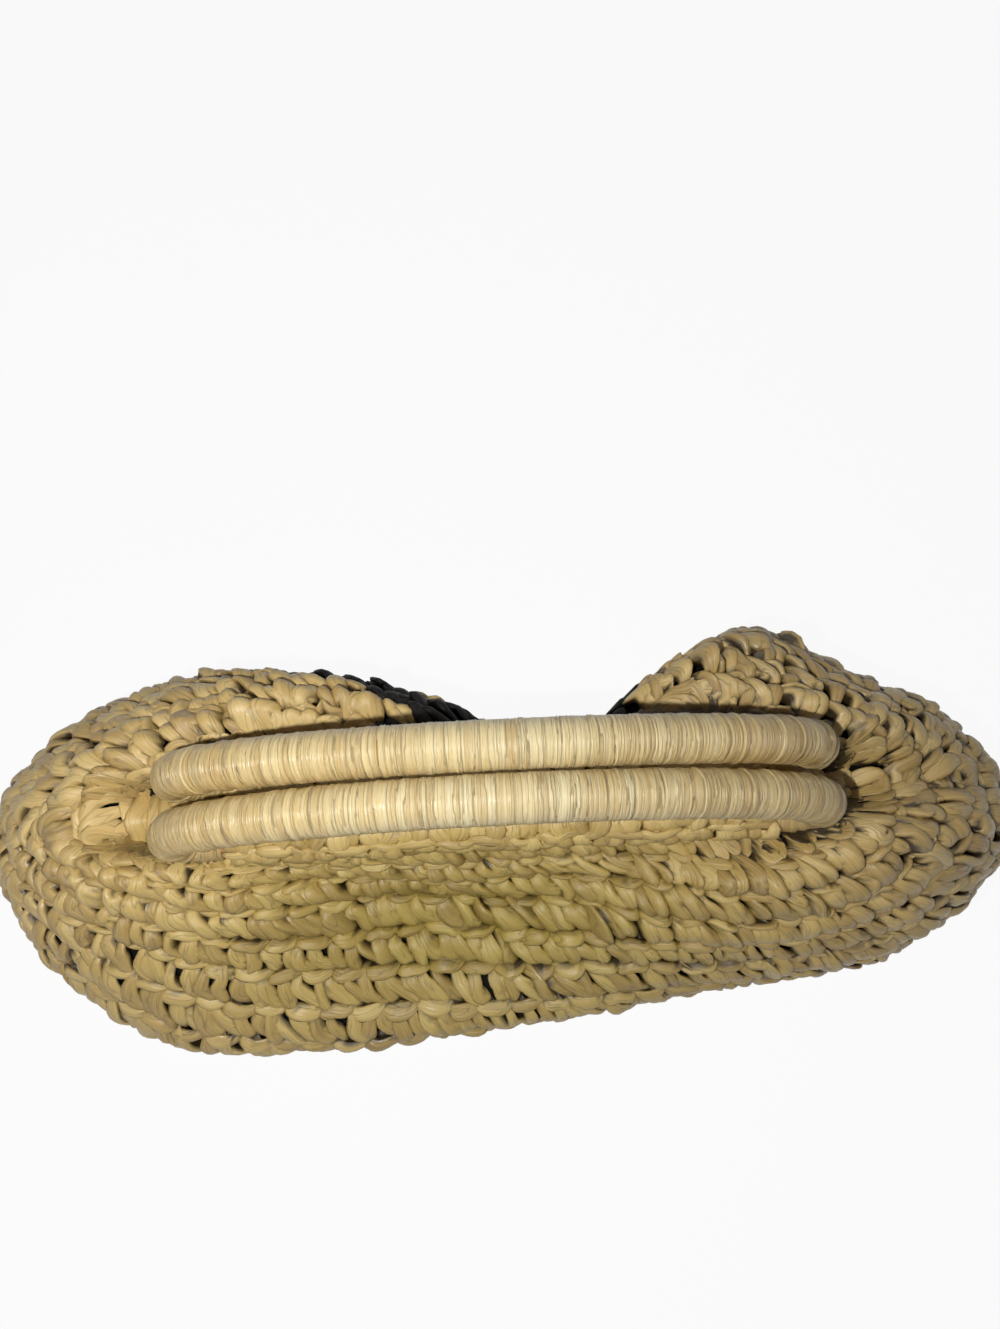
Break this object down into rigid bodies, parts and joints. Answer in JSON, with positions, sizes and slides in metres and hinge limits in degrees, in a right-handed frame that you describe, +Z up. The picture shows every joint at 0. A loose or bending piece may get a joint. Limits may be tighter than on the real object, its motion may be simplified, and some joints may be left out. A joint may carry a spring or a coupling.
{
  "type": "straw handbag",
  "caption": "Soft crocheted raffia bag with puffed shoulders and two raffia-wound arch handles that hinge in hems along its mouth.",
  "frame": {"origin": "middle of the flat base", "axes": "+X along the mouth, +Y towards the back panel, +Z up"},
  "size_m": [0.3814, 0.1451, 0.1794],
  "materials": {
    "raffia": "natural raffia, satin, crumpled",
    "black_raffia": "dyed raffia, satin",
    "wound_raffia": "fine raffia strands, silky",
    "cane": "bare bent cane",
    "cotton": "plain woven cotton, black",
    "board": "grey-brown pressed board",
    "snap_metal": "pale brass plate"
  },
  "bodies": {
    "bag": {"crochet_body": "raffia", "front_hem": "raffia", "back_hem": "raffia", "black_diamond": "black_raffia", "lining": "cotton", "front_lining_tape": "cotton", "back_lining_tape": "cotton", "inner_pocket": "cotton", "snap_patch_front": "cotton", "snap_patch_back": "cotton", "snap_socket": "snap_metal", "snap_stud": "snap_metal", "base_board": "board"},
    "front_handle": {"front_handle_cane": "cane", "front_handle_winding": "wound_raffia", "front_left_cuff": "wound_raffia", "front_right_cuff": "wound_raffia"},
    "back_handle": {"back_handle_cane": "cane", "back_handle_winding": "wound_raffia", "back_left_cuff": "wound_raffia", "back_right_cuff": "wound_raffia"}
  },
  "joints": [
    {"name": "front_handle_swing", "type": "hinge", "parent": "bag", "child": "front_handle", "pos_m": [0, -0.01, 0.122], "axis": [1, 0, 0], "range_deg": [0, 48]},
    {"name": "back_handle_swing", "type": "hinge", "parent": "bag", "child": "back_handle", "pos_m": [0, 0.01, 0.122], "axis": [-1, 0, 0], "range_deg": [0, 48]}
  ]
}
